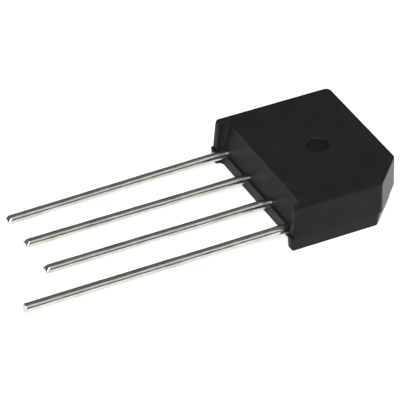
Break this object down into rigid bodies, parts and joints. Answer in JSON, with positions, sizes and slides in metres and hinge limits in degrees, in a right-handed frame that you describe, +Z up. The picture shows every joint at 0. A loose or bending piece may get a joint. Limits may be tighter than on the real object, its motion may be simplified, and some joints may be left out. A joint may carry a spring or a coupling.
{
  "type": "bridge rectifier",
  "caption": "Single-in-line bridge rectifier: flat black moulded case with one cut corner and thin stand-off ears, and a row of long round tinned leads.",
  "frame": {"origin": "centre of the flat lower face that the part lies on", "axes": "X along the row of leads, +X towards the positive lead and the cut corner; +Y away from the lead tips; +Z up, out of the face with the ejector mark"},
  "size_m": [0.0148, 0.0357, 0.0043],
  "materials": {
    "moulded_epoxy": "transfer-moulded black epoxy, satin, polished a little smoother on the cut corner",
    "tinned_copper": "copper wire dipped in tin, bright but uneven, with dull streaks and small runs",
    "silicon": "sawn and metallised silicon",
    "copper": "stamped bare copper strip",
    "solder": "reflowed high-lead solder, dull grey"
  },
  "bodies": {
    "root": {"case": "moulded_epoxy", "lead_positive": "tinned_copper", "lead_ac_1": "tinned_copper", "lead_ac_2": "tinned_copper", "lead_negative": "tinned_copper", "chip_ac_1_to_positive": "silicon", "chip_ac_2_to_positive": "silicon", "chip_negative_to_ac_1": "silicon", "chip_negative_to_ac_2": "silicon", "strip_positive": "copper", "strip_negative": "copper", "solder_below_chip_1": "solder", "solder_below_chip_2": "solder", "solder_below_chip_3": "solder", "solder_below_chip_4": "solder", "solder_above_chip_1": "solder", "solder_above_chip_2": "solder", "solder_above_chip_3": "solder", "solder_above_chip_4": "solder", "solder_strip_positive": "solder", "solder_strip_negative": "solder"}
  },
  "joints": []
}
